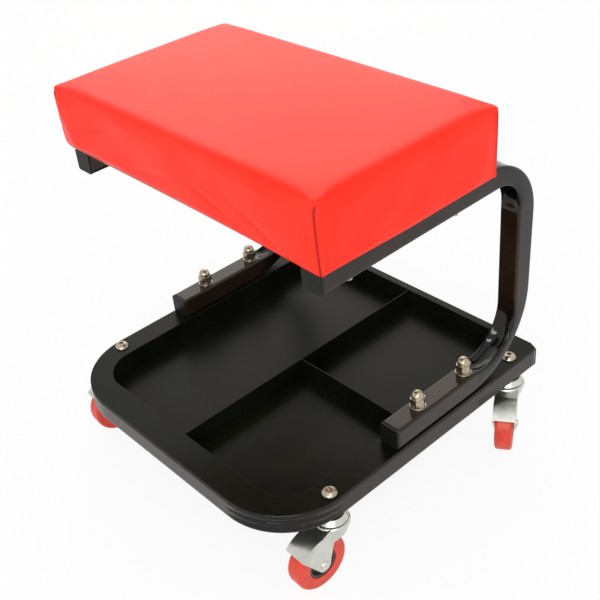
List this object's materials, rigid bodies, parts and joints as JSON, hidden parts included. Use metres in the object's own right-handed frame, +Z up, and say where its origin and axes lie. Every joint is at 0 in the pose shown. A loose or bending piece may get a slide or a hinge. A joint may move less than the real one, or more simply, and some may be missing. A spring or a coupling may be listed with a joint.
{
  "type": "creeper seat",
  "caption": "Rolling mechanic's seat: padded box cushion on C-shaped square-tube legs over a divided steel tool tray, riding on swivel casters.",
  "frame": {"origin": "on the floor, under the centre of the object's box", "axes": "+X to the sitter's right along the seat's long side, -Y towards the rounded front of the tray, +Z up"},
  "size_m": [0.3944, 0.357, 0.397],
  "materials": {
    "red_vinyl": "soft red vinyl with a fine grain",
    "foam": "open-cell cushion foam",
    "plywood": "raw plywood",
    "black_frame_paint": "gloss black powder coat",
    "black_tray_paint": "satin black powder coat",
    "black_plug": "moulded black plastic",
    "zinc_fastener": "warm zinc plating",
    "caster_zinc": "bright zinc-plated pressed steel",
    "steel": "plain steel",
    "core_plastic": "moulded dark grey plastic",
    "red_tread": "smooth red-orange tread"
  },
  "bodies": {
    "frame": {"seat_cover": "red_vinyl", "seat_foam": "foam", "seat_board": "plywood", "seat_staples": "zinc_fastener", "seat_tee_nuts": "zinc_fastener", "seat_washers": "zinc_fastener", "seat_bolts": "zinc_fastener", "leg_left": "black_frame_paint", "leg_right": "black_frame_paint", "upper_arm_plugs": "black_plug", "lower_arm_plugs": "black_plug", "base_tube": "black_frame_paint", "base_plugs": "black_plug", "tray": "black_tray_paint", "long_divider": "black_tray_paint", "cross_divider": "black_tray_paint", "leg_bolts": "zinc_fastener", "leg_bolt_washers": "zinc_fastener", "leg_flat_washers": "zinc_fastener", "leg_spring_washers": "zinc_fastener", "leg_acorn_nuts": "zinc_fastener", "caster_bolts": "zinc_fastener", "caster_cups": "caster_zinc", "caster_king_sleeves": "steel", "caster_lower_races": "caster_zinc", "caster_nuts": "zinc_fastener"},
    "front_left_swivel": {"front_left_yoke": "caster_zinc", "front_left_balls": "steel", "front_left_axle": "caster_zinc", "front_left_axle_sleeve": "steel"},
    "front_left_wheel": {"front_left_wheel_core": "core_plastic", "front_left_tyre": "red_tread"},
    "front_right_swivel": {"front_right_yoke": "caster_zinc", "front_right_balls": "steel", "front_right_axle": "caster_zinc", "front_right_axle_sleeve": "steel"},
    "front_right_wheel": {"front_right_wheel_core": "core_plastic", "front_right_tyre": "red_tread"},
    "rear_left_swivel": {"rear_left_yoke": "caster_zinc", "rear_left_balls": "steel", "rear_left_axle": "caster_zinc", "rear_left_axle_sleeve": "steel"},
    "rear_left_wheel": {"rear_left_wheel_core": "core_plastic", "rear_left_tyre": "red_tread"},
    "rear_right_swivel": {"rear_right_yoke": "caster_zinc", "rear_right_balls": "steel", "rear_right_axle": "caster_zinc", "rear_right_axle_sleeve": "steel"},
    "rear_right_wheel": {"rear_right_wheel_core": "core_plastic", "rear_right_tyre": "red_tread"}
  },
  "joints": [
    {"name": "front_left_swivel_turn", "type": "hinge", "parent": "frame", "child": "front_left_swivel", "pos_m": [-0.162, -0.1103, 0.0735], "axis": [0, 0, 1], "continuous": true},
    {"name": "front_left_wheel_spin", "type": "hinge", "parent": "front_left_swivel", "child": "front_left_wheel", "pos_m": [-0.16392, -0.13222, 0.0285], "axis": [0.9962, -0.0872, 0], "continuous": true},
    {"name": "front_right_swivel_turn", "type": "hinge", "parent": "frame", "child": "front_right_swivel", "pos_m": [0.162, -0.1103, 0.0735], "axis": [0, 0, 1], "continuous": true},
    {"name": "front_right_wheel_spin", "type": "hinge", "parent": "front_right_swivel", "child": "front_right_wheel", "pos_m": [0.16123, -0.13229, 0.0285], "axis": [0.9994, -0.0349, 0], "continuous": true},
    {"name": "rear_left_swivel_turn", "type": "hinge", "parent": "frame", "child": "rear_left_swivel", "pos_m": [-0.162, 0.1448, 0.0735], "axis": [0, 0, 1], "continuous": true},
    {"name": "rear_left_wheel_spin", "type": "hinge", "parent": "rear_left_swivel", "child": "rear_left_wheel", "pos_m": [-0.17398, 0.12635, 0.0285], "axis": [0.8387, -0.5446, 0], "continuous": true},
    {"name": "rear_right_swivel_turn", "type": "hinge", "parent": "frame", "child": "rear_right_swivel", "pos_m": [0.162, 0.1448, 0.0735], "axis": [0, 0, 1], "continuous": true},
    {"name": "rear_right_wheel_spin", "type": "hinge", "parent": "rear_right_swivel", "child": "rear_right_wheel", "pos_m": [0.17398, 0.12635, 0.0285], "axis": [0.8387, 0.5446, 0], "continuous": true}
  ]
}
